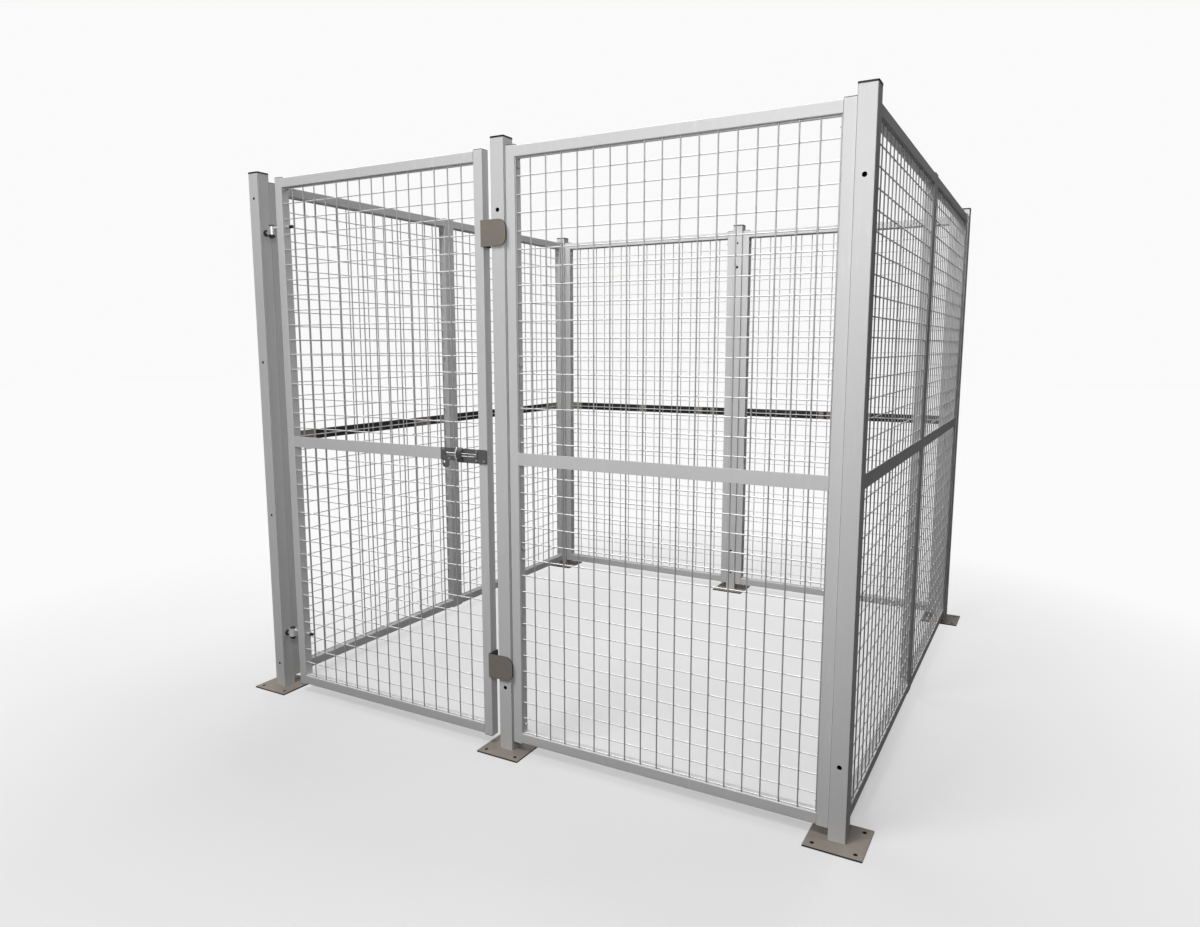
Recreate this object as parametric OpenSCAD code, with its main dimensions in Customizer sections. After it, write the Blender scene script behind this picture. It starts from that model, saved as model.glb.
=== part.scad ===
// Wire mesh partition with door: a free-standing square enclosure.
// Six square posts on base plates carry seven fixed welded-wire panels,
// and an eye-bolt hinged door leaf with a slide bolt closes the eighth bay.
// Millimetres. Origin: centre of the footprint on the floor. The front, with
// the door, faces -Y; the door is the left front bay and its hinges are at -X.

/* [Posts] */
// outer width of the square post tube
post_w = 50; // [40:1:80]
// wall of the post tube
post_wall = 2.5; // [1.5:0.5:4]
// outer corner radius of the post tube
post_r = 3.5; // [2.5:0.5:6]
// overall height, floor to the top of the post caps
total_h = 1965; // [1800:5:2600]
// thickness of the plastic cap on a post
post_cap_t = 5; // [2:0.5:6]
// spare panel holes in the post fronts
spare_hole_d = 10; // [7:0.5:14]
// how far a post cap stands over the tube on each side
post_cap_lip = 0.6; // [0:0.1:2]
// depth of the cap's plug inside the tube
cap_plug = 14; // [8:1:30]

/* [Base plates] */
// side of the square base plate
plate_w = 160; // [120:5:220]
// thickness of the base plate
plate_t = 5; // [4:1:12]
// diameter of the anchor holes
anchor_d = 12; // [8:1:18]
// distance between anchor hole centres
anchor_pitch = 116; // [90:2:190]

/* [Panels] */
// width of a panel between two posts
panel_w = 1040; // [700:5:1500]
// outer width of the square frame tube
tube_w = 34; // [25:1:45]
// wall of the frame tube
tube_wall = 2; // [1.5:0.5:3]
// outer corner radius of the frame tube
tube_r = 3; // [2:0.5:5]
// gap between the floor and the underside of a panel
floor_gap = 33.5; // [10:0.5:120]
// distance from the top of the post caps down to the top of a panel
top_drop = 30.5; // [5:0.5:80]
// how far the upright tubes run past the rails
stile_over = 2; // [0:0.5:10]
// thickness of the plastic cap on an upright tube
stile_cap_t = 1.8; // [1:0.2:4]
// height of the middle rail
mid_rail_h = 40; // [25:1:60]
// thickness of the middle rail's flat bar
mid_rail_t = 3; // [2:0.5:3]

/* [Mesh] */
// diameter of the mesh wire
wire_d = 4; // [2:0.5:6]
// distance between upright wires
pitch_x = 54; // [30:1:80]
// distance between level wires
pitch_z = 53.8; // [30:0.1:80]
// how far the level wires sit below the middle rail's centre
mesh_drop = 1.5; // [0:0.5:8]
// length by which a cut wire still laps the middle rail's edge
rail_lap = 4; // [2:0.5:6]

/* [Fasteners] */
// thread diameter of the panel studs and bolts
stud_d = 6; // [5:1:10]
// clearance of a stud or bolt hole over the thread
stud_play = 0.4; // [0.2:0.1:1]
// width across flats of the panel nuts
nut_af = 10; // [8:1:17]
// thickness of the panel nuts
nut_t = 5; // [4:0.5:8]
// thread end beyond the nut
thread_end = 4; // [1:0.5:10]
// distance of the inner studs from the middle rail's centre
stud_near = 292.5; // [200:0.5:400]
// distance of the outer studs from the top and bottom rails
stud_edge = 27; // [15:1:120]

/* [Door] */
// gap between hinge post and door leaf
hinge_gap = 78; // [60:1:120]
// gap between door leaf and latch post
latch_gap = 37; // [10:1:60]
// distance of the hinge pin's axis from the hinge post
pin_off = 31; // [22:1:45]
// distance of the post eyes from the top and bottom rails
eye_edge = 150; // [80:0.5:400]
// height of one eye
eye_h = 15; // [10:1:25]
// outer diameter of one eye
eye_d = 30; // [24:1:45]
// diameter of the hinge pin
pin_d = 12; // [8:1:16]
// radial running clearance of the pin in an eye
pin_play = 0.08; // [0.02:0.02:0.1]
// diameter of the eye bolts' threaded shanks
rod_d = 10; // [8:1:14]
// reach of the door eye bolts' thread past the frame tube
rod_reach = 26; // [14:1:40]
// diameter of the hinge holes in the posts
hinge_hole_d = 13; // [11:0.5:18]
// width across flats of the eye bolt nuts
rod_nut_af = 17; // [14:1:24]
// thickness of the eye bolt nuts
rod_nut_t = 8; // [6:1:12]

/* [Door stops] */
// height of a stop plate
stop_h = 80; // [40:2:140]
// sheet thickness of a stop plate
stop_t = 5; // [3:0.5:8]
// reach of a stop plate from the door leaf
stop_reach = 94; // [60:1:140]
// corner radius of a stop plate
stop_r = 26; // [5:1:35]
// distance of the stops' middles from the top and bottom rails
stop_edge = 217.5; // [100:0.5:500]
// gap between a stop plate and the latch post when the door is shut
stop_play = 0.5; // [0.2:0.1:2]

/* [Slide bolt] */
// diameter of the bolt
bolt_d = 9; // [7:0.5:9]
// length of the bolt
bolt_len = 242; // [236:1:300]
// depth of the bolt's axis in front of the frame's middle plane
bolt_front = 9.4; // [9.2:0.1:9.5]
// how far the bolt slides
bolt_throw = 50; // [45:1:52]
// diameter of the bolt hole in the latch post
keep_hole_d = 12; // [10:0.5:14]
// radial clearance of the bolt in its guides
bolt_play = 0.1; // [0.05:0.05:0.3]
// height of the slots that show the bolt
slot_h = 11; // [9:0.5:14]
// length of the right plate
right_plate_l = 118; // [110:1:130]
// height of the right plate
right_plate_h = 46; // [42:1:50]
// gap between the two plates
plate_gap = 5; // [2:0.5:10]
// length of the left plate
left_plate_l = 67; // [60:1:80]
// height of the left plate
left_plate_h = 42; // [38:1:46]
// distance of the handle's shank from the latch edge of the door
shank_in = 111; // [108:1:116]
// distance of the right plate's screws from the latch edge of the door
screw_in = 40; // [38:0.5:42]
// thickness of the left plate
left_plate_t = 2; // [1.5:0.5:3]
// thickness of the right plate where the handle slides
right_plate_t = 4; // [3:0.5:6]
// thickness of the right plate's end on the frame tube
right_end_t = 2.5; // [1.5:0.5:3]
// length of the handle along the bolt
grip_w = 26; // [16:1:34]
// height of the handle
grip_h = 49; // [36:1:60]
// thickness of the handle
grip_t = 3; // [2:0.5:4]
// distance of the handle's screws from its middle
grip_screw = 12; // [10:0.5:14]
// head diameter of the handle's screws
grip_head_d = 6.5; // [5:0.5:7]

/* [View] */
// sub-part to show

/* [Hidden] */
$fn = 48;
weld = 0.05;            // open line between welded tubes
slack = 0.15;           // plugs and sleeves in their tubes
pitch = panel_w + post_w;
half_w = pitch;         // corner post centres from the middle, along X
half_d = panel_w + post_w / 2;
post_face = post_w / 2;
tube_half = tube_w / 2;
stile_low = floor_gap;
stile_high = total_h - top_drop;
low_in = stile_low + stile_over + tube_w;
high_in = stile_high - stile_over - tube_w;
opening_h = high_in - low_in;
mid_z = (low_in + high_in) / 2;
joint_z = [low_in + stud_edge, mid_z - stud_near, mid_z + stud_near, high_in - stud_edge];
stud_hole = stud_d + stud_play;
open_w = panel_w - 2 * tube_w;
door_w = panel_w - hinge_gap - latch_gap;
door_open = door_w - 2 * tube_w;
door_x = -half_w + post_face + hinge_gap;
door_y = -half_d;
pin_x = -half_w + post_face + pin_off;
eyes = [low_in + eye_edge, high_in - eye_edge];
eye_gap = 0.1;          // between the two eyes of a hinge
door_eye_up = eye_h + eye_gap;
rod_hole = rod_d + 0.5;
nut_flange_d = rod_nut_af + 7;
shank_x = door_w - shank_in;
grip_x = shank_x - 10;
right_x0 = door_w - right_plate_l;
left_x1 = right_x0 - plate_gap;
left_x0 = left_x1 - left_plate_l;
slot_x0 = left_x0 + 17;
slot_x1 = door_w - tube_w - 3;
front = -tube_half;     // frame front plane, in a panel's own frame
rail_back = front + mid_rail_t;
upright_y = rail_back + weld + wire_d / 2;      // axis of the upright wires
level_y = upright_y + wire_d + 0.02;            // axis of the level wires
bolt_x0 = door_w - 2 - bolt_len;                // inner end of the slide bolt

// ---------- shared shapes ----------

module round_rect(w, h, r) {
    union() {
        square([w - 2 * r, h], center = true);
        square([w, h - 2 * r], center = true);
        for (x = [-w / 2 + r, w / 2 - r], y = [-h / 2 + r, h / 2 - r])
            translate([x, y]) circle(r);
    }
}

module square_tube(len, w, wall, r) {
    linear_extrude(len) difference() {
        round_rect(w, w, r);
        round_rect(w - 2 * wall, w - 2 * wall, max(r - wall, 0.5));
    }
}

module along_x(len, d) {
    rotate([0, 90, 0]) cylinder(h = len, d = d);
}

module back_to_front(len, d) {
    rotate([90, 0, 0]) cylinder(h = len, d = d);
}

module hex_nut(t, af, bore) {
    rotate([0, 90, 0]) difference() {
        cylinder(h = t, d = af / cos(30), $fn = 6);
        translate([0, 0, -1]) cylinder(h = t + 2, d = bore);
    }
}

module flange_nut(t, af, bore) {
    rotate([0, 90, 0]) difference() {
        union() {
            cylinder(h = t, d = af / cos(30), $fn = 6);
            cylinder(h = 2, d = nut_flange_d);
        }
        translate([0, 0, -1]) cylinder(h = t + 2, d = bore);
    }
}

// ---------- posts ----------

module wall_hole(turn, z, d) {
    rotate([0, 0, turn]) translate([post_face - post_wall - 1.5, 0, z])
        along_x(post_wall + 3, d);
}

module post_at(x, y, joints) {
    color([0.72, 0.72, 0.72]) translate([x, y, 0]) difference() {
        translate([0, 0, plate_t])
            square_tube(total_h - plate_t - post_cap_t, post_w, post_wall, post_r);
        for (turn = joints, z = joint_z) wall_hole(turn, z, stud_hole);
        children();
    }
}

module hinge_holes(turn) {
    for (z = eyes) wall_hole(turn, z, hinge_hole_d);
}

module post_front_left() {
    post_at(-half_w, -half_d, [90]) {
        hinge_holes(0);
        for (z = joint_z) wall_hole(-90, z, spare_hole_d);
    }
}

module post_front_middle() {
    post_at(0, -half_d, [0]) {
        hinge_holes(-90);
        translate([0, -bolt_front, 0]) wall_hole(180, mid_z, keep_hole_d);
    }
}

module post_front_right() {
    post_at(half_w, -half_d, [90, 180]) hinge_holes(-90);
}

module post_back_left() {
    post_at(-half_w, half_d, [-90, 0]);
}

module post_back_middle() {
    post_at(0, half_d, [0, 180]) {
        hinge_holes(-90);
        for (z = [joint_z[0], joint_z[3]]) wall_hole(-90, z, spare_hole_d);
    }
}

module post_back_right() {
    post_at(half_w, half_d, [-90, 180]);
}

module each_post() {
    for (x = [-half_w, 0, half_w], y = [-half_d, half_d]) translate([x, y, 0]) children();
}

module base_plates() {
    color([0.55, 0.5, 0.45]) each_post() difference() {
        translate([-plate_w / 2, -plate_w / 2, 0]) cube([plate_w, plate_w, plate_t]);
        for (x = [-anchor_pitch / 2, anchor_pitch / 2], y = [-anchor_pitch / 2, anchor_pitch / 2])
            translate([x, y, -1]) cylinder(h = plate_t + 2, d = anchor_d);
    }
}

module tube_cap(w, lip, wall, r, t, plug) {
    // top disc with a hollow plug below it
    inner = w - 2 * wall - 2 * slack;
    union() {
        linear_extrude(t) round_rect(w + 2 * lip, w + 2 * lip, r + lip);
        translate([0, 0, -plug])
            square_tube(plug, inner, 1.6, max(r - wall - slack, 0.4) + 0.2);
    }
}

module post_caps() {
    color([0.05, 0.05, 0.05]) each_post() translate([0, 0, total_h - post_cap_t])
        tube_cap(post_w, post_cap_lip, post_wall, post_r, post_cap_t, cap_plug);
}

// ---------- panels ----------

module in_bay(bay) {
    // places a panel drawn along +X with its outer face to -Y
    if (bay == 0) translate([post_face, -half_d, 0]) children();
    if (bay == 1) translate([half_w, -panel_w, 0]) rotate([0, 0, 90]) children();
    if (bay == 2) translate([half_w, 0, 0]) rotate([0, 0, 90]) children();
    if (bay == 3) translate([half_w - post_face, half_d, 0]) rotate([0, 0, 180]) children();
    if (bay == 4) translate([-post_face, half_d, 0]) rotate([0, 0, 180]) children();
    if (bay == 5) translate([-half_w, panel_w, 0]) rotate([0, 0, -90]) children();
    if (bay == 6) translate([-half_w, 0, 0]) rotate([0, 0, -90]) children();
}

module stile_tube(x) {
    translate([x, 0, stile_low]) square_tube(stile_high - stile_low, tube_w, tube_wall, tube_r);
}

module rail_tubes(w) {
    for (z = [low_in - tube_half, high_in + tube_half])
        translate([tube_w + weld, 0, z]) rotate([0, 90, 0])
            square_tube(w - 2 * tube_w - 2 * weld, tube_w, tube_wall, tube_r);
}

module panel_frame(bay) {
    color([0.75, 0.75, 0.75]) in_bay(bay) {
        for (x = [tube_half, panel_w - tube_half]) difference() {
            stile_tube(x);
            for (z = joint_z)
                translate([x - tube_half - 1, 0, z]) along_x(tube_w + 2, stud_hole);
        }
        rail_tubes(panel_w);
    }
}

module flat_bar(len) {
    // rolled flat with eased edges, flush with the frame's front; the mesh lies on its back
    translate([0, front + mid_rail_t / 2, mid_z]) rotate([90, 0, 90])
        linear_extrude(len) round_rect(mid_rail_t, mid_rail_h, 0.6);
}

module panel_mid_rail(bay) {
    color([0.7, 0.7, 0.7]) in_bay(bay) translate([tube_w + weld, 0, 0])
        flat_bar(open_w - 2 * weld);
}

module upright_wire(x, z0, z1) {
    translate([x, upright_y, z0]) cylinder(h = z1 - z0, d = wire_d, $fn = 16);
}

// upright wires centred on a clear width, none nearer than keep to a stile;
// past cut_from they stop behind the middle rail's edges and leave the bolt room
module upright_wires(w, keep, cut_from) {
    last = floor((w / 2 - keep - wire_d / 2) / pitch_x);
    cut = mid_rail_h / 2 - rail_lap;
    for (k = [-last:last]) {
        x = w / 2 + k * pitch_x;
        if (x < cut_from) upright_wire(x, low_in, high_in);
        else {
            upright_wire(x, low_in, mid_z - cut);
            upright_wire(x, mid_z + cut, high_in);
        }
    }
}

mesh_mid = mid_z - mesh_drop;
edge_keep = 3 * wire_d;     // nearest a wire of the pitch comes to an edge wire
level_low = -floor((mesh_mid - low_in - edge_keep) / pitch_z);
level_high = floor((high_in - mesh_mid - edge_keep) / pitch_z);
edge_off = wire_d / 2 + weld;

module level_wire(z, x0, x1) {
    translate([x0, level_y, z]) rotate([0, 90, 0]) cylinder(h = x1 - x0, d = wire_d, $fn = 16);
}

module edge_levels(w) {
    for (z = [low_in + edge_off, high_in - edge_off]) level_wire(z, 0, w);
}

module panel_mesh(bay) {
    color([0.7, 0.7, 0.7]) in_bay(bay) translate([tube_w, 0, 0]) {
        upright_wires(open_w, edge_keep, open_w);
        for (x = [edge_off, open_w - edge_off]) upright_wire(x, low_in, high_in);
        for (k = [level_low:level_high]) level_wire(mesh_mid + k * pitch_z, 0, open_w);
        edge_levels(open_w);
    }
}

module frame_front() { panel_frame(0); }
module frame_right_front() { panel_frame(1); }
module frame_right_back() { panel_frame(2); }
module frame_back_right() { panel_frame(3); }
module frame_back_left() { panel_frame(4); }
module frame_left_back() { panel_frame(5); }
module frame_left_front() { panel_frame(6); }

module mid_rail_front() { panel_mid_rail(0); }
module mid_rail_right_front() { panel_mid_rail(1); }
module mid_rail_right_back() { panel_mid_rail(2); }
module mid_rail_back_right() { panel_mid_rail(3); }
module mid_rail_back_left() { panel_mid_rail(4); }
module mid_rail_left_back() { panel_mid_rail(5); }
module mid_rail_left_front() { panel_mid_rail(6); }

module mesh_front() { panel_mesh(0); }
module mesh_right_front() { panel_mesh(1); }
module mesh_right_back() { panel_mesh(2); }
module mesh_back_right() { panel_mesh(3); }
module mesh_back_left() { panel_mesh(4); }
module mesh_left_back() { panel_mesh(5); }
module mesh_left_front() { panel_mesh(6); }

module stile_caps_of(w) {
    for (x = [tube_half, w - tube_half]) {
        translate([x, 0, stile_high])
            tube_cap(tube_w, -slack, tube_wall, tube_r, stile_cap_t, 9);
        translate([x, 0, stile_low]) mirror([0, 0, 1])
            tube_cap(tube_w, -slack, tube_wall, tube_r, stile_cap_t, 9);
    }
}

module panel_stile_caps() {
    color([0.12, 0.12, 0.12]) for (bay = [0:6]) in_bay(bay) stile_caps_of(panel_w);
}

// ---------- panel fasteners ----------

module at_post_joints() {
    // each joint's own +X runs from the post's face into the panel
    for (j = [[post_face, -half_d, 0], [half_w - post_face, -half_d, 180],
              [half_w, -panel_w, 90], [half_w, panel_w, -90],
              [half_w - post_face, half_d, 180], [post_face, half_d, 0],
              [-post_face, half_d, 180], [-half_w + post_face, half_d, 0],
              [-half_w, panel_w, -90], [-half_w, -panel_w, 90]])
        for (z = joint_z) translate([j[0], j[1], z]) rotate([0, 0, j[2]]) children();
}

module at_panel_joints() {
    for (x = [-half_w, half_w], z = joint_z) translate([x, 0, z]) rotate([0, 0, 90]) children();
}

module panel_studs() {
    // stud with a flat head against the inside of the post wall
    color([0.75, 0.75, 0.72]) at_post_joints() {
        translate([-post_wall - 2, 0, 0]) along_x(2, stud_d * 1.8);
        translate([-post_wall, 0, 0]) along_x(post_wall + tube_w + nut_t + thread_end, stud_d);
    }
}

module panel_bolts() {
    color([0.75, 0.75, 0.72]) at_panel_joints() {
        translate([-tube_w - 4, 0, 0]) rotate([0, 90, 0])
            cylinder(h = 4, d = nut_af / cos(30), $fn = 6);
        translate([-tube_w, 0, 0]) along_x(2 * tube_w + nut_t + thread_end, stud_d);
    }
}

module panel_nuts() {
    color([0.6, 0.6, 0.58]) {
        at_post_joints() translate([tube_w, 0, 0]) hex_nut(nut_t, nut_af, stud_d + 0.1);
        at_panel_joints() translate([tube_w, 0, 0]) hex_nut(nut_t, nut_af, stud_d + 0.1);
    }
}

// ---------- hinges ----------

module eye(z) {
    translate([0, 0, z - eye_h / 2]) difference() {
        cylinder(h = eye_h, d = eye_d);
        translate([0, 0, -1]) cylinder(h = eye_h + 2, d = pin_d + 2 * pin_play);
    }
}

module eye_bolt(z, len) {
    // eye about the local axis with a shank along +X
    difference() {
        union() {
            translate([0, 0, z - eye_h / 2]) cylinder(h = eye_h, d = eye_d);
            translate([0, 0, z]) along_x(len, rod_d);
        }
        translate([0, 0, z - eye_h]) cylinder(h = 2 * eye_h, d = pin_d + 2 * pin_play);
    }
}

module at_pin() {
    translate([pin_x, -half_d, 0]) children();
}

module post_eye_bolts() {
    color([0.8, 0.8, 0.78]) at_pin() for (z = eyes) rotate([0, 0, 180])
        eye_bolt(z, pin_off + post_wall + rod_nut_t + 3);
}

module post_eye_nuts() {
    color([0.2, 0.2, 0.2]) for (z = eyes) translate([-half_w + post_face, -half_d, z]) {
        flange_nut(rod_nut_t, rod_nut_af, rod_d + 0.1);
        translate([-post_wall, 0, 0]) rotate([0, 0, 180])
            flange_nut(rod_nut_t, rod_nut_af, rod_d + 0.1);
    }
}

module hinge_pins() {
    // headed pin standing in both eyes
    color([0.85, 0.85, 0.83]) at_pin() for (z = eyes) {
        top = z + door_eye_up + eye_h / 2 + 0.3;
        translate([0, 0, top]) cylinder(h = 5, d = pin_d * 1.7);
        translate([0, 0, z - eye_h / 2 - 13]) cylinder(h = top - z + eye_h / 2 + 13, d = pin_d);
    }
}

module hinge_pin_nuts() {
    color([0.15, 0.15, 0.15]) at_pin() for (z = eyes)
        translate([0, 0, z - eye_h / 2 - 0.2]) rotate([0, 90, 0])
            hex_nut(9, pin_d * 1.58, pin_d + 0.1);
}

module door_eye_bolts() {
    color([0.8, 0.8, 0.78]) at_pin() for (z = eyes)
        eye_bolt(z + door_eye_up, hinge_gap - pin_off + tube_w + rod_reach);
}

module door_eye_nuts() {
    color([0.8, 0.8, 0.78]) for (z = eyes) translate([door_x, door_y, z + door_eye_up])
        rotate([0, 0, 180]) flange_nut(rod_nut_t, rod_nut_af, rod_d + 0.1);
}

module rod_end_caps() {
    color([0.08, 0.08, 0.08]) for (z = eyes)
        translate([door_x + tube_w + rod_reach - 9, door_y, z + door_eye_up]) difference() {
            along_x(11, rod_d + 2);
            translate([-1, 0, 0]) along_x(10.1, rod_d + 0.1);
        }
}

// ---------- door leaf ----------

module in_door() {
    translate([door_x, door_y, 0]) children();
}

module door_frame() {
    color([0.75, 0.75, 0.75]) in_door() {
        difference() {
            stile_tube(tube_half);
            for (z = eyes) translate([-1, 0, z + door_eye_up]) along_x(tube_w + 2, rod_hole);
        }
        difference() {
            stile_tube(door_w - tube_half);
            translate([door_w - tube_w - 1, -bolt_front, mid_z])
                along_x(tube_w + 2, bolt_d + 2 * bolt_play);
            latch_screw_holes();
        }
        rail_tubes(door_w);
    }
}

module door_mid_rail() {
    color([0.7, 0.7, 0.7]) in_door() difference() {
        translate([tube_w + weld, 0, 0]) flat_bar(door_open - 2 * weld);
        translate([0, front + mid_rail_t + 1, 0]) bolt_slot(slot_x0, slot_x1, mid_rail_t + 2);
        latch_screw_holes();
    }
}

module door_mesh() {
    bolt_clear = bolt_x0 - tube_w - wire_d;
    color([0.7, 0.7, 0.7]) in_door() translate([tube_w, 0, 0]) {
        upright_wires(door_open, rod_reach + 3, bolt_clear);
        for (k = [level_low:level_high]) {
            z = mesh_mid + k * pitch_z;
            level_wire(z, near_rod(z) ? rod_reach + 3 : 0, near_bolt(z) ? bolt_clear : door_open);
        }
        edge_levels(door_open);
    }
}

// true where a level wire would run into a door eye bolt, or into the slide bolt
function at_rod(z, eye) = abs(z - eye - door_eye_up) < nut_flange_d / 2 + wire_d;
function near_rod(z) = at_rod(z, eyes[0]) || at_rod(z, eyes[1]);
function near_bolt(z) = abs(z - mid_z) < mid_rail_h / 2;

module door_stile_caps() {
    color([0.12, 0.12, 0.12]) in_door() stile_caps_of(door_w);
}

module door_stop(z) {
    color([0.55, 0.5, 0.45]) in_door() translate([door_w, -post_face - stop_play, z]) {
        // leg against the latch post's front
        rotate([90, 0, 0]) linear_extrude(stop_t) union() {
            translate([0, -stop_h / 2]) square([stop_reach - stop_r, stop_h]);
            translate([0, -stop_h / 2 + stop_r]) square([stop_reach, stop_h - 2 * stop_r]);
            for (y = [-stop_h / 2 + stop_r, stop_h / 2 - stop_r])
                translate([stop_reach - stop_r, y]) circle(stop_r);
        }
        // leg on the side of the door leaf
        translate([0, -stop_t, -stop_h / 2])
            cube([stop_t, stop_t + post_face + stop_play + tube_half, stop_h]);
    }
}

module stop_upper() { door_stop(high_in - stop_edge); }
module stop_lower() { door_stop(low_in + stop_edge); }

// ---------- slide bolt ----------

module bolt_slot(x0, x1, depth) {
    // level slot with round ends, cut from local y = 0 towards the front
    translate([0, 0, mid_z]) rotate([90, 0, 0]) linear_extrude(depth) union() {
        translate([x0 + slot_h / 2, -slot_h / 2]) square([x1 - x0 - slot_h, slot_h]);
        for (x = [x0 + slot_h / 2, x1 - slot_h / 2]) translate([x, 0]) circle(slot_h / 2);
    }
}

screw_d = 4;
// place and plate thickness of each latch screw
latch_screws_at = [[left_x0 + 11, 15.5, left_plate_t], [left_x0 + 35, -15.5, left_plate_t],
    [door_w - screw_in, 14.5, right_plate_t], [door_w - screw_in, -15.5, right_plate_t],
    [door_w - 12, -17, right_end_t]];

module latch_screw_holes() {
    for (s = latch_screws_at) translate([s[0], front + tube_wall + 1, mid_z + s[1]])
        back_to_front(tube_wall + right_plate_t + 3, screw_d + 0.3);
}

module latch_screws() {
    color([0.7, 0.7, 0.68]) in_door() for (s = latch_screws_at)
        translate([s[0], front - s[2], mid_z + s[1]]) {
            back_to_front(2, screw_d * 1.9);
            translate([0, s[2] + mid_rail_t + 2, 0]) back_to_front(s[2] + mid_rail_t + 2, screw_d);
        }
}

module latch_left_plate() {
    color([0.25, 0.25, 0.26]) in_door() difference() {
        translate([0, front, mid_z]) rotate([90, 0, 0]) linear_extrude(left_plate_t) difference() {
            union() {
                translate([(left_x0 + left_x1) / 2, 0]) round_rect(left_plate_l, left_plate_h, 4);
                translate([left_x0 + 21, -29]) round_rect(28, 32, 9);
            }
            translate([left_x0 + 15, -27]) circle(4.5);
        }
        translate([0, front + 1, 0]) bolt_slot(slot_x0, left_x1 + 20, left_plate_t + 2);
        latch_screw_holes();
    }
}

module latch_right_plate() {
    color([0.25, 0.25, 0.26]) in_door() difference() {
        translate([0, front, mid_z - 2]) rotate([90, 0, 0]) union() {
            linear_extrude(right_end_t)
                translate([(right_x0 + door_w) / 2, 0]) round_rect(right_plate_l, right_plate_h, 4);
            linear_extrude(right_plate_t)
                translate([(right_x0 + slot_x1) / 2, 0]) round_rect(slot_x1 - right_x0, right_plate_h, 4);
        }
        translate([0, front + 1, 0])
            bolt_slot(right_x0 - 20, slot_x1 - 1, right_plate_t + 2);
        latch_screw_holes();
    }
}

module latch_guide() {
    // saddle on the flat bar's back that holds the bolt's far end
    bore = bolt_d + 2 * bolt_play;
    color([0.4, 0.4, 0.4]) in_door() difference() {
        translate([left_x0 + 3, rail_back, mid_z - bolt_d])
            cube([6, -bolt_front + bolt_d - rail_back, 2 * bolt_d]);
        translate([left_x0, -bolt_front, mid_z]) along_x(12, bore);
        translate([left_x0, rail_back - 1, mid_z - bore / 2])
            cube([12, -bolt_front - rail_back + 1, bore]);
    }
}

module latch_bolt() {
    color([0.85, 0.85, 0.85]) in_door() difference() {
        translate([bolt_x0, -bolt_front, mid_z]) along_x(bolt_len, bolt_d);
        translate([shank_x, -bolt_front + bolt_d, mid_z]) back_to_front(2 * bolt_d, 5.1);
    }
}

grip_back = front - right_plate_t - 0.3;
grip_out = 10.2;
grip_r = (grip_h * grip_h / 4 + grip_out * grip_out) / (2 * grip_out);
grip_c = grip_back - grip_out + grip_r;

module grip_profile(r) {
    // part of a circle in front of the plates, drawn in Y and Z
    intersection() {
        translate([grip_c, 0]) circle(r, $fn = 96);
        translate([grip_back - 2 * grip_out, -grip_h]) square([2 * grip_out, 2 * grip_h]);
    }
}

module stand_in_door(x, len) {
    in_door() translate([x, 0, mid_z]) rotate([90, 0, 90]) linear_extrude(len) children();
}

handle_screws_at = [-grip_screw, grip_screw];

module handle_screw_holes() {
    for (z = handle_screws_at) in_door() translate([grip_x + 7, grip_back - 2.5, mid_z + z])
        back_to_front(20, 3.2);
}

module latch_carrier() {
    // block behind the handle with the shank that drives the bolt
    color([0.22, 0.22, 0.22]) {
        difference() {
            stand_in_door(grip_x + 2, 16) intersection() {
                grip_profile(grip_r - grip_t - 0.1);
                translate([grip_back - 20, -grip_screw - 4]) square([20, 2 * grip_screw + 8]);
            }
            handle_screw_holes();
        }
        in_door() translate([shank_x, -bolt_front - bolt_d / 2 - 0.1, mid_z])
            back_to_front(-grip_back - bolt_front - bolt_d / 2 - 0.1 + 0.2, 8);
        in_door() translate([shank_x, -bolt_front + 2, mid_z])
            back_to_front(bolt_d / 2 + 2.2, 4.9);
    }
}

module latch_handle() {
    color([0.2, 0.2, 0.2]) difference() {
        stand_in_door(grip_x, grip_w) difference() {
            grip_profile(grip_r);
            translate([grip_c, 0]) circle(grip_r - grip_t, $fn = 96);
        }
        handle_screw_holes();
    }
}

module handle_screws() {
    // the head touches the bow where the bow stands furthest out under it
    head_in = grip_screw - grip_head_d / 2;
    head_y = grip_c - sqrt(grip_r * grip_r - head_in * head_in) - 0.05;
    color([0.7, 0.7, 0.68]) in_door() for (z = handle_screws_at)
        translate([grip_x + 7, head_y, mid_z + z]) {
            back_to_front(1.6, grip_head_d);
            translate([0, -head_y + grip_back - 2.6, 0])
                back_to_front(-head_y + grip_back - 2.6, 3);
        }
}

// ---------- what is drawn ----------

post_front_left();
post_front_middle();
post_front_right();
post_back_left();
post_back_middle();
post_back_right();
base_plates();
post_caps();
frame_front();
frame_right_front();
frame_right_back();
frame_back_right();
frame_back_left();
frame_left_back();
frame_left_front();
mid_rail_front();
mid_rail_right_front();
mid_rail_right_back();
mid_rail_back_right();
mid_rail_back_left();
mid_rail_left_back();
mid_rail_left_front();
mesh_front();
mesh_right_front();
mesh_right_back();
mesh_back_right();
mesh_back_left();
mesh_left_back();
mesh_left_front();
panel_stile_caps();
panel_studs();
panel_bolts();
panel_nuts();
post_eye_bolts();
post_eye_nuts();
hinge_pins();
hinge_pin_nuts();
door_frame();
door_mid_rail();
door_mesh();
door_stile_caps();
door_eye_bolts();
door_eye_nuts();
rod_end_caps();
stop_upper();
stop_lower();
latch_left_plate();
latch_right_plate();
latch_guide();
latch_screws();
latch_bolt();
latch_carrier();
latch_handle();
handle_screws();
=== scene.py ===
"""Wire mesh partition with door: six posts, seven fixed welded-mesh panels and
one hinged door leaf with a slide bolt, dressed for the camera. Metres, +Z up,
the front with the door faces -Y."""

import math

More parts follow.
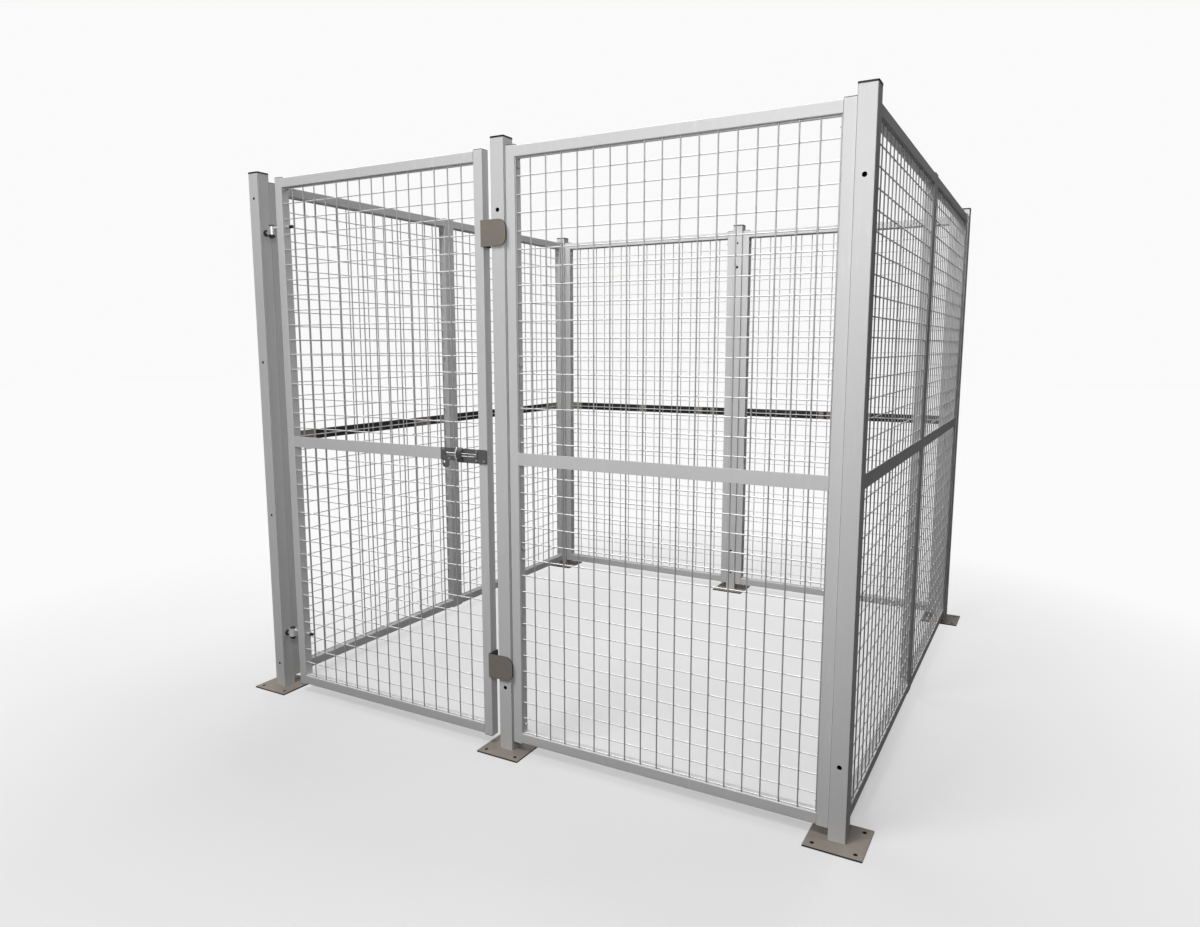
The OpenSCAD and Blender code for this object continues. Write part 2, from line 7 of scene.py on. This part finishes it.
import bpy
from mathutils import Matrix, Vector

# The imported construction. It is loaded as it stands: every tube, plate, wire
# and screw keeps its place and shape, and the sections below finish them.
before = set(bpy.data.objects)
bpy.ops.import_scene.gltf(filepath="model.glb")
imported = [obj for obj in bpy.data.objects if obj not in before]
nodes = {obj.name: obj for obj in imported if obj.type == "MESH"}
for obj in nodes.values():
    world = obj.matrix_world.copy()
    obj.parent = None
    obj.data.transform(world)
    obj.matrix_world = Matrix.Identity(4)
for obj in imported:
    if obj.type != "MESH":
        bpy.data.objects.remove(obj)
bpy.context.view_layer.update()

# The camera stands in front of the right-hand end at chest height and
# looks down a little, with a wide lens, as in the photograph.
lens = bpy.data.cameras.new("camera")
lens.lens = 25.0
lens.sensor_width = 36.0
camera = bpy.data.objects.new("camera", lens)
camera.location = (1.5468, -3.2315, 1.3356)
looks_down, turned_left = math.radians(7.994), math.radians(29.042)
camera.rotation_euler = (math.pi / 2 - looks_down, 0, turned_left)
bpy.context.scene.collection.objects.link(camera)
bpy.context.scene.camera = camera
bpy.context.scene.view_settings.view_transform = "Standard"


# The posts are square steel tubes, powder coated light grey. The coat is a
# satin one with a fine orange-peel skin, a little thinner over the corners,
# and it has picked up a few faint rubs from handling.
class Signal:
    """One output of a material's nodes. Arithmetic on it adds Math nodes."""

    def __init__(self, tree, socket=None):
        self.tree = tree
        self.socket = socket

    def node(self, kind, settings=None, inputs=None, out=0):
        """A new node of that kind: its settings first, then its sockets."""
        made = self.tree.nodes.new("ShaderNode" + kind)
        for name, value in (settings or {}).items():
            if name == "stops":
                stops = made.color_ramp.elements
                while len(stops) < len(value):
                    stops.new(0.5)
                for stop, (place, shade) in zip(stops, value):
                    stop.position, stop.color = place, shade
            else:
                setattr(made, name, value)
        for name, value in (inputs or {}).items():
            if isinstance(value, Signal):
                self.tree.links.new(value.socket, made.inputs[name])
            else:
                made.inputs[name].default_value = value
        return Signal(self.tree, made.outputs[out])

    def math(self, operation, first, second):
        """One sum of two values, each a Signal or a number."""
        return self.node("Math", {"operation": operation}, {0: first, 1: second})

    def __add__(self, other):
        return self.math("ADD", self, other)

    __radd__ = __add__

    def __sub__(self, other):
        return self.math("SUBTRACT", self, other)

    def __rsub__(self, other):
        return self.math("SUBTRACT", other, self)

    def __mul__(self, other):
        return self.math("MULTIPLY", self, other)

    __rmul__ = __mul__

    def noise(self, place, scale, detail):
        """Soft random patches between 0 and 1; a larger scale makes them finer."""
        return self.node(
            "TexNoise", None, {"Vector": place, "Scale": scale, "Detail": detail}
        )

    def stretch(self, place, scale):
        """The place scaled on each axis, for a grain that runs one way."""
        return self.node("Mapping", None, {"Vector": place, "Scale": scale})

    def ramp(self, value, low, high, top=1.0):
        """0 at low to 1 at high, or to top where that is given."""
        ends = {"Value": value, "From Min": low, "From Max": high, "To Max": top}
        return self.node("MapRange", None, ends)

    def away(self, value):
        """How far a value is from 0."""
        return self.math("ABSOLUTE", value, 0.0)

    def axis(self, vector, number):
        """One value of a vector: 0 is X, 1 is Y and 2 is Z."""
        return self.node("SeparateXYZ", None, {0: vector}, out=number)

    def mirrored(self, vector):
        """The vector without its signs, the same on each side of the middle."""
        return self.node("VectorMath", {"operation": "ABSOLUTE"}, {0: vector})

    def bump(self, shader, height, strength, distance):
        """Roughens the surface of a shader by a height, in metres."""
        self.node(
            "Bump", None, {"Height": height, "Strength": strength, "Distance": distance}
        ).into(shader, "Normal")

    def into(self, shader, name):
        """Feeds this output into one of the shader's sockets."""
        self.tree.links.new(self.socket, shader.inputs[name])


def new_finish(name, **constants):
    """A material, its shader with its constant values, and a Signal to start from."""
    material = bpy.data.materials.new(name)
    material.use_nodes = True
    shader = material.node_tree.nodes["Principled BSDF"]
    for key, value in constants.items():
        socket = key.replace("_", " ").title().replace("Ior", "IOR")
        shader.inputs[socket].default_value = value
    return material, shader, Signal(material.node_tree)


def give(material, *names):
    """Puts a finish on whole CAD nodes."""
    for name in names:
        for place in nodes[name].material_slots:
            place.material = material


def grey(value):
    """An opaque grey, 0 black and 1 white."""
    return (value, value, value, 1.0)


def tint(signal, amount, low, high):
    """Mixes two colours by a value between 0 and 1."""
    return signal.node(
        "Mix",
        {"data_type": "RGBA"},
        {"Factor": amount, 6: low, 7: high},
        out=2,
    )


def powder_coat(name, shade, peel, bare_with_painted_dark=None):
    """Satin powder coat: cloudy by a percent or two, orange peel, faint rubs.
    The last argument gives a mask of where the powder does not reach, and the
    colour there, painted dark: shade inside the posts, a reflection on the rails'
    backs."""
    material, shader, start = new_finish(name, specular_ior_level=0.45)
    place = start.node("TexCoord", out=3)
    cloud = start.noise(place, 1.7, 3.0)
    skin = start.noise(place, 420.0, 2.0)
    rubs = start.noise(start.stretch(place, (1.0, 1.0, 0.12)), 90.0, 4.0)
    rubbed = start.ramp(rubs, 0.6, 0.78)
    body = tint(start, cloud, grey(shade * 0.93), grey(shade * 1.05))
    coat = tint(start, rubbed * 0.5, body, grey(shade * 1.16))
    rough = 0.36 + cloud * 0.14 + rubbed * -0.07
    if bare_with_painted_dark:
        hidden, bare_dark_colour = bare_with_painted_dark(start, place)
        coat, rough = tint(start, hidden, coat, bare_dark_colour), rough + hidden * 0.12
    coat.into(shader, "Base Color")
    rough.into(shader, "Roughness")
    start.bump(shader, skin, peel, 0.0004)
    return material


# The outer posts' axes stand this far from the middle, in X and in Y.
post_x, post_y = 1.09, 1.065
inside_reach = 0.0243  # just under the outer face of the 50 mm tube


def near_post(start, place, reach):
    """1 within reach of a post's axis, measured square as the tube is."""
    span = start.mirrored(place)
    out_x, out_y = start.axis(span, 0), start.axis(span, 1)
    across = start.math("MINIMUM", out_x, start.away(out_x - post_x))
    along = start.away(out_y - post_y)
    return start.math("LESS_THAN", start.math("MAXIMUM", across, along), reach)


def painted_shade_inside_post(start, place):
    """The tube's inside and the cut walls of its holes are painted near black as shade.
    """
    return near_post(start, place, inside_reach), grey(0.006)


post_coat = powder_coat("post_powder_coat", 0.56, 0.16, painted_shade_inside_post)
give(
    post_coat,
    "post_front_left",
    "post_front_middle",
    "post_front_right",
    "post_back_left",
    "post_back_middle",
    "post_back_right",
)


# The base plates are 5 mm hot-rolled steel left bare: a beige-brown mill skin
# that is cloudy and faintly brushed along the rolling direction. Its side faces
# and the walls of the anchor holes are painted darker as shade.
def bare_plate(name, low, high, rough, broad_axis):
    """Bare rolled plate in two close beige browns, with painted shade on its side
    faces.
    broad_axis is the axis that the broad faces look along."""
    material, shader, start = new_finish(name, metallic=0.0, specular_ior_level=0.4)
    place = start.node("TexCoord", out=3)
    cloud = start.noise(place, 14.0, 5.0)
    rolled = start.noise(start.stretch(place, (0.06, 1.0, 0.3)), 260.0, 3.0)
    fine = start.noise(place, 900.0, 1.0)
    mixed = cloud * 0.65 + rolled * 0.35
    facing = start.mirrored(start.node("TexCoord", out=1))
    side_on = 0.4  # a face that looks this little along the broad axis is an edge
    # Faces that look sideways are painted darker as shade.
    painted_shade_side = start.math("LESS_THAN", start.axis(facing, broad_axis), side_on)
    side_shade_factor = 0.22
    dark = (low[0] * side_shade_factor, low[1] * side_shade_factor, low[2] * side_shade_factor, 1)
    tint(start, painted_shade_side, tint(start, mixed, low, high), dark).into(shader, "Base Color")
    (rough + rolled * 0.16 - cloud * 0.08).into(shader, "Roughness")
    start.bump(shader, rolled * 0.6 + fine * 0.4, 0.12, 0.0003)
    return material


plate_brown, plate_beige = (0.184, 0.160, 0.137, 1), (0.297, 0.263, 0.230, 1)
plate_steel = bare_plate("bare_rolled_plate", plate_brown, plate_beige, 0.42, 2)
give(plate_steel, "base_plates")


# Black polyethylene caps close the post and stile tubes, and the thread ends
# of the door's eye bolts. They are moulded with a fine spark texture that
# shows only as a soft sheen.
black_caps, shader, start = new_finish("black_tube_caps", specular_ior_level=0.25)
place = start.node("TexCoord", out=3)
grain = start.noise(place, 1100.0, 2.0)
worn = start.noise(place, 35.0, 3.0)
tint(start, worn, grey(0.0084), grey(0.018)).into(shader, "Base Color")
(0.45 + grain * 0.2).into(shader, "Roughness")
start.bump(shader, grain, 0.25, 0.0002)
give(black_caps, "post_caps", "panel_stile_caps", "door_stile_caps", "rod_end_caps")


# Each panel frame is four square tubes welded into a rectangle and coated
# in the same grey as the posts, seen here a shade lighter on the thin tube.
bays = (
    "front",
    "right_front",
    "right_back",
    "back_right",
    "back_left",
    "left_back",
    "left_front",
)
frame_coat = powder_coat("frame_powder_coat", 0.57, 0.16)
give(frame_coat, "door_frame", *["frame_" + bay for bay in bays])


# The middle rail is a 40 x 3 mm flat bar, flush with the front of the frame.
# Its front is coated with the frame. Its back, behind the mesh, is bare beige
# steel under a painted reflection of dark surroundings: near black over most of
# it, with beige patches where the bare steel shows.
frame_half = 0.017  # half the depth of a frame tube
rail_z = 0.984
coated_depth = 0.0024  # of the bar's 3 mm, from its front
slot_half = 0.0058  # just over half the height of the 11 mm slot


def flat_bar(name, along, patches, slot=None):
    """Coat outside; inside, bare steel painted near black as a reflection, and patches
    gives the beige ones in metres along the bar. slot is the middle and half
    length of a slot cut after coating, where one is; its walls get painted shade."""

    def behind(start, place):
        span = start.mirrored(place)
        from_side = post_x + frame_half - start.axis(span, 0)
        from_front = post_y + frame_half - start.axis(span, 1)
        depth = start.math("MINIMUM", from_side, from_front)
        run = start.axis(place, along)
        ragged = start.noise(place, 60.0, 4.0)
        feather, wander = 0.002, 0.016
        patch = 0.0
        for low, high in patches:
            middle, half = (low + high) / 2, (high - low) / 2
            off = start.away(run - middle + (ragged - 0.5) * wander)
            patch = patch + start.ramp(off, half + feather, half - feather)
        # the near black is a painted reflection of dark surroundings on the bare back
        scale = tint(start, ragged, grey(0.004), grey(0.012))
        brown, beige = (0.175, 0.152, 0.130, 1), (0.275, 0.243, 0.212, 1)
        bare_steel = tint(start, ragged, brown, beige)
        bare_with_painted_dark = start.math("GREATER_THAN", depth, coated_depth)
        # The slot's cut walls are painted near black as shade.
        if slot:
            in_height = start.away(start.axis(place, 2) - rail_z)
            in_length = start.away(run - slot[0])
            cut = start.math("LESS_THAN", in_height, slot_half) * start.math(
                "LESS_THAN", in_length, slot[1]
            )
            bare_with_painted_dark = start.math("MAXIMUM", bare_with_painted_dark, cut)
        return bare_with_painted_dark, tint(start, patch, scale, bare_steel)

    return powder_coat(name, 0.55, 0.14, behind)


# For each bay: the axis that its rail runs along, and where its patches are.
bare_patches = {
    "left_front": (1, ((-1.006, -0.838), (-0.251, -0.133), (-0.068, -0.034))),
    "left_back": (1, ((0.020, 0.034), (0.890, 1.006))),
    "back_left": (
        0,
        ((-1.031, -0.972), (-0.589, -0.545), (-0.247, -0.199), (-0.151, -0.127)),
    ),
    "back_right": (
        0,
        ((0.444, 0.471), (0.489, 0.508), (0.690, 0.707), (0.908, 0.979)),
    ),
    "right_back": (1, ((0.120, 0.165), (0.560, 0.640), (0.905, 1.006))),
    "right_front": (1, ((-1.006, -0.950), (-0.420, -0.372), (-0.092, -0.034))),
    "front": (0, ((0.059, 0.110), (0.480, 0.535), (0.900, 1.031))),
}
for bay, (along, patches) in bare_patches.items():
    give(flat_bar("mid_rail_coat_" + bay, along, patches), "mid_rail_" + bay)
door_patches = ((-0.950, -0.905), (-0.610, -0.566))
bolt_slot = (-0.167, 0.070)
door_bar = flat_bar("mid_rail_coat_door", 0, door_patches, bolt_slot)
give(door_bar, "door_mid_rail")


# The mesh is 4 mm drawn wire, resistance welded at 54 mm pitch, with an edge
# wire round the opening. It is left bright: grey metal, dull in patches, with
# fine draw lines. Where it lies level its top and its underside are painted
# paler, painted light in place of the light that falls on them.
wire_coat, shader, start = new_finish("mesh_wire", metallic=0.3)
place = start.node("TexCoord", out=3)
dull = start.noise(place, 55.0, 4.0)
draw_lines = start.noise(place, 1400.0, 1.0)
facing = start.axis(start.node("TexCoord", out=1), 2)
# Painted light: a level wire is paler on its top and on its underside.
painted_light_top = start.ramp(facing, -0.12, 0.52)
painted_light_below = start.ramp(facing, -0.05, -0.75)
drawn = tint(start, dull, grey(0.279), grey(0.341))
with_painted_underside = tint(start, painted_light_below, drawn, grey(0.90))
tint(start, painted_light_top, with_painted_underside, grey(0.74)).into(shader, "Base Color")
(0.30 + dull * 0.16 + painted_light_top * 0.2).into(shader, "Roughness")
start.bump(shader, draw_lines, 0.08, 0.0001)
give(wire_coat, "door_mesh", *["mesh_" + bay for bay in bays])


# The panels are held to the posts by 6 mm studs and nuts, and to each other by
# bolts where there is no post. All are steel, turned or headed, with bright
# zinc plate.
turns_scale = 314.0  # sets turns 1 mm apart along X, and 2 mm on the diagonal
eye_reach = 0.017  # from the pin's axis, past which an eye bolt is threaded


def plated_steel(name, shade, rough, thread=None, pin=None):
    """Zinc plate, bright with dull spots. thread is the direction of a thread's
    turns, and pin the place along X of an eye that has none, where there are any."""
    metallic = 1.0 if thread is None else 0.7
    material, shader, start = new_finish(name, metallic=metallic)
    place = start.node("TexCoord", out=3)
    dull = start.noise(place, 120.0, 4.0)
    turned = start.noise(place, 1500.0, 1.0)
    cool = (shade * 0.84, shade * 0.86, shade * 0.88, 1)
    colour, height = tint(start, dull, cool, grey(shade)), turned * 0.15
    if thread:
        wave = {"Vector": place, "Scale": turns_scale}
        cut = start.node("TexWave", {"bands_direction": thread}, wave, out=1)
        if pin is not None:
            from_pin = start.away(start.axis(place, 0) - pin)
            cut = cut * start.math("GREATER_THAN", from_pin, eye_reach)
        # The thread's grooves are painted darker as shade.
        colour = tint(start, cut * 0.35, colour, grey(shade * 0.45))
        height = height + cut
    colour.into(shader, "Base Color")
    (rough + dull * 0.18).into(shader, "Roughness")
    start.bump(shader, height, 0.4, 0.0003)
    return material


zinc = plated_steel("bright_zinc_plate", 0.74, 0.22)
give(zinc, "panel_bolts", "panel_nuts")
give(plated_steel("zinc_studs", 0.74, 0.22, "DIAGONAL"), "panel_studs")


# Each hinge is a pair of eye bolts, a 30 mm turned eye on a 10 mm threaded
# shank: one goes through the corner post, one through the door's own tube,
# where a zinc-plated nut locks it. A headed pin stands in both eyes.
pin_x = -1.034
eye_steel = plated_steel("zinc_eye_bolts", 0.80, 0.27, "X", pin_x)
give(eye_steel, "post_eye_bolts", "door_eye_bolts")
give(zinc, "door_eye_nuts")


# The hinge pins with their nuts, and the flange nuts that hold the post eye
# bolts, are blackened steel with a thin film of oil.
def dark_metal(name, shade, painted_highlight_mask=None):
    """Blackened or painted steel, a little uneven. The last argument, where given,
    is a mask of where a painted highlight is laid on."""
    material, shader, start = new_finish(name, metallic=0.35, specular_ior_level=0.5)
    place = start.node("TexCoord", out=3)
    patch = start.noise(place, 60.0, 4.0)
    fine = start.noise(place, 800.0, 2.0)
    colour = tint(start, patch, grey(shade * 0.75), grey(shade * 1.3))
    if painted_highlight_mask:
        colour = tint(start, painted_highlight_mask(start, place), colour, grey(0.85))
    colour.into(shader, "Base Color")
    (0.34 + patch * 0.2).into(shader, "Roughness")
    start.bump(shader, fine, 0.12, 0.0002)
    return material


dark_nuts = dark_metal("blackened_nuts", 0.045)
give(dark_nuts, "post_eye_nuts", "hinge_pins", "hinge_pin_nuts")


# Two bent 5 mm plates, welded to the door's free edge, stop it against the
# front of the middle post. They are bare like the base plates, but darker.
stop_brown, stop_beige = (0.150, 0.131, 0.112, 1), (0.236, 0.210, 0.184, 1)
stop_steel = bare_plate("bare_stop_plate", stop_brown, stop_beige, 0.46, 1)
give(stop_steel, "stop_upper", "stop_lower")


# The slide bolt is a ground steel rod behind the middle rail. Two dark grey
# plates with level slots cover it, and a bow handle in front of them drives
# it through the slot. The bow's free edge carries a painted highlight, a
# bright strip where its rounded edge catches the light.
latch_grey = dark_metal("latch_dark_grey", 0.13)
give(latch_grey, "latch_left_plate", "latch_right_plate")
give(latch_grey, "latch_guide", "latch_carrier")
bow_edge_x = -0.183  # the bow's free edge, painted as a highlight over its first 3 mm


def painted_highlight_strip(start, place):
    """The strip of the bow's free edge that carries the painted highlight."""
    return start.ramp(start.axis(place, 0), bow_edge_x + 0.0037, bow_edge_x + 0.0024)


give(dark_metal("latch_bow_grey", 0.08, painted_highlight_strip), "latch_handle")
bolt_bright = plated_steel("ground_bolt", 0.80, 0.24)
give(bolt_bright, "latch_bolt", "latch_screws", "handle_screws")


# The floor is a plain pale studio floor that fades to white. The camera sees
# it pale; what it throws back on the object is less close to the walls and
# past the right one. Under the base plates it is painted black as their
# shadow.
floor_half = 30.0
corners = [(-1, -1), (1, -1), (1, 1), (-1, 1)]
floor_mesh = bpy.data.meshes.new("floor")
floor_mesh.from_pydata(
    [(x * floor_half, y * floor_half, 0) for x, y in corners], [], [(0, 1, 2, 3)]
)
floor = bpy.data.objects.new("studio_floor", floor_mesh)
floor.location.z = -0.0006
bpy.context.scene.collection.objects.link(floor)

pale, pale_shader, start = new_finish(
    "pale_floor", roughness=1.0, specular_ior_level=0.0
)
place = start.node("TexCoord", out=3)
seen = start.node("LightPath", out="Is Camera Ray")
glossy = start.node("LightPath", out="Is Glossy Ray")
floor_x, floor_y = start.axis(place, 0), start.axis(place, 1)

# What the camera sees: the lit floor, painted paler to the back and to the
# left as painted light, and all white from 3.2 m out. Metal mirrors a quarter
# of that white.
centred = start.node(
    "VectorMath", {"operation": "ADD"}, {0: place, 1: (0.10, 0.50, 0.0)}
)
distance = start.node("VectorMath", {"operation": "LENGTH"}, {0: centred}, out="Value")
fade = start.ramp(distance, 1.2, 3.2)
behind_front = start.ramp(floor_y, -1.5, 0.0, top=0.24)
at_left = start.ramp(floor_x, -0.7, -1.9, top=0.3)
paleness = (0.34 + behind_front + at_left) * (1.0 - fade) + fade
share = start.math("MAXIMUM", seen * paleness, glossy * 0.25)
glow = start.node("Emission", None, {"Color": grey(0.965), "Strength": 1.0})

# What the object gets back from it.
under_plate = 0.079  # reach from a post's axis, 1 mm inside its base plate
painted_plate_shadow = near_post(start, place, under_plate)
past_right = start.ramp(floor_x, 0.9, 1.4)
span = start.mirrored(place)
beyond_x, beyond_y = start.axis(span, 0) - post_x, start.axis(span, 1) - post_y
from_wall = start.away(start.math("MAXIMUM", beyond_x, beyond_y))
clear = start.ramp(from_wall, 0.0, 0.5)
open_floor = tint(start, past_right, grey(0.27), grey(0.07))
bounce = tint(start, clear, grey(0.02), open_floor)
lit = tint(start, seen, bounce, grey(0.57))
# Under the base plates the floor is painted black as their shadow.
tint(start, painted_plate_shadow, lit, grey(0.01)).into(pale_shader, "Base Color")

diffuse = Signal(start.tree, pale_shader.outputs[0])
mixed = start.node("MixShader", None, {0: share * (1.0 - painted_plate_shadow), 1: diffuse, 2: glow})
pale.node_tree.links.new(
    mixed.socket, pale.node_tree.nodes["Material Output"].inputs["Surface"]
)
floor_mesh.materials.append(pale)


# The studio: white walls seen by the camera and by the metal, a low fill
# light from all round, one large soft lamp high in front, one over the left
# wall, and four small ones that lift the near corner, the back and the right.
world = bpy.data.worlds.new("studio")
bpy.context.scene.world = world
world.use_nodes = True
air = Signal(world.node_tree)
seen = air.node("LightPath", out="Is Camera Ray")
glossy = air.node("LightPath", out="Is Glossy Ray")
through = air.node("LightPath", out="Is Transmission Ray")
open_view = air.math("MAXIMUM", seen, through)
height = air.axis(air.node("TexCoord"), 2)
overhead = air.node(
    "MapRange",
    {"interpolation_type": "SMOOTHSTEP"},
    {
        "Value": height,
        "From Min": 0.22,
        "From Max": 0.85,
        "To Min": 0.03,
        "To Max": 1.4,
    },
)
fill = 0.012
level = fill + open_view * 0.945 + glossy * overhead
background = world.node_tree.nodes["Background"]
background.inputs["Color"].default_value = grey(1.0)
level.into(background, "Strength")


def soft_lamp(name, place, target, size, power):
    """An area lamp of size metres and power watts that looks at target."""
    light = bpy.data.lights.new(name, "AREA")
    light.shape = "RECTANGLE"
    light.size, light.size_y = size
    light.energy = power
    lamp = bpy.data.objects.new(name, light)
    lamp.location = place
    aim = Vector(target) - Vector(place)
    lamp.rotation_euler = aim.to_track_quat("-Z", "Y").to_euler()
    lamp.visible_camera = False
    bpy.context.scene.collection.objects.link(lamp)


soft_lamp("high_front", (-0.9, -3.8, 6.0), (0, 0, 1.0), (2.2, 2.2), 300)
soft_lamp("over_left", (-2.0, 0.0, 3.4), (0, 0, 1.0), (1.8, 1.8), 38)
soft_lamp("near_right", (1.05, -2.9, 2.0), (0, 0, 1.0), (0.9, 0.9), 24)
soft_lamp("over_back", (0.9, 1.2, 3.4), (0, 0, 1.0), (0.7, 0.7), 3)
soft_lamp("back_wall", (-0.1, -0.1, 3.0), (0.2, 1.1, 1.2), (0.6, 0.6), 9)
soft_lamp("over_right", (1.32, 0.0, 3.0), (1.25, 0, 0), (2.4, 0.3), 19)
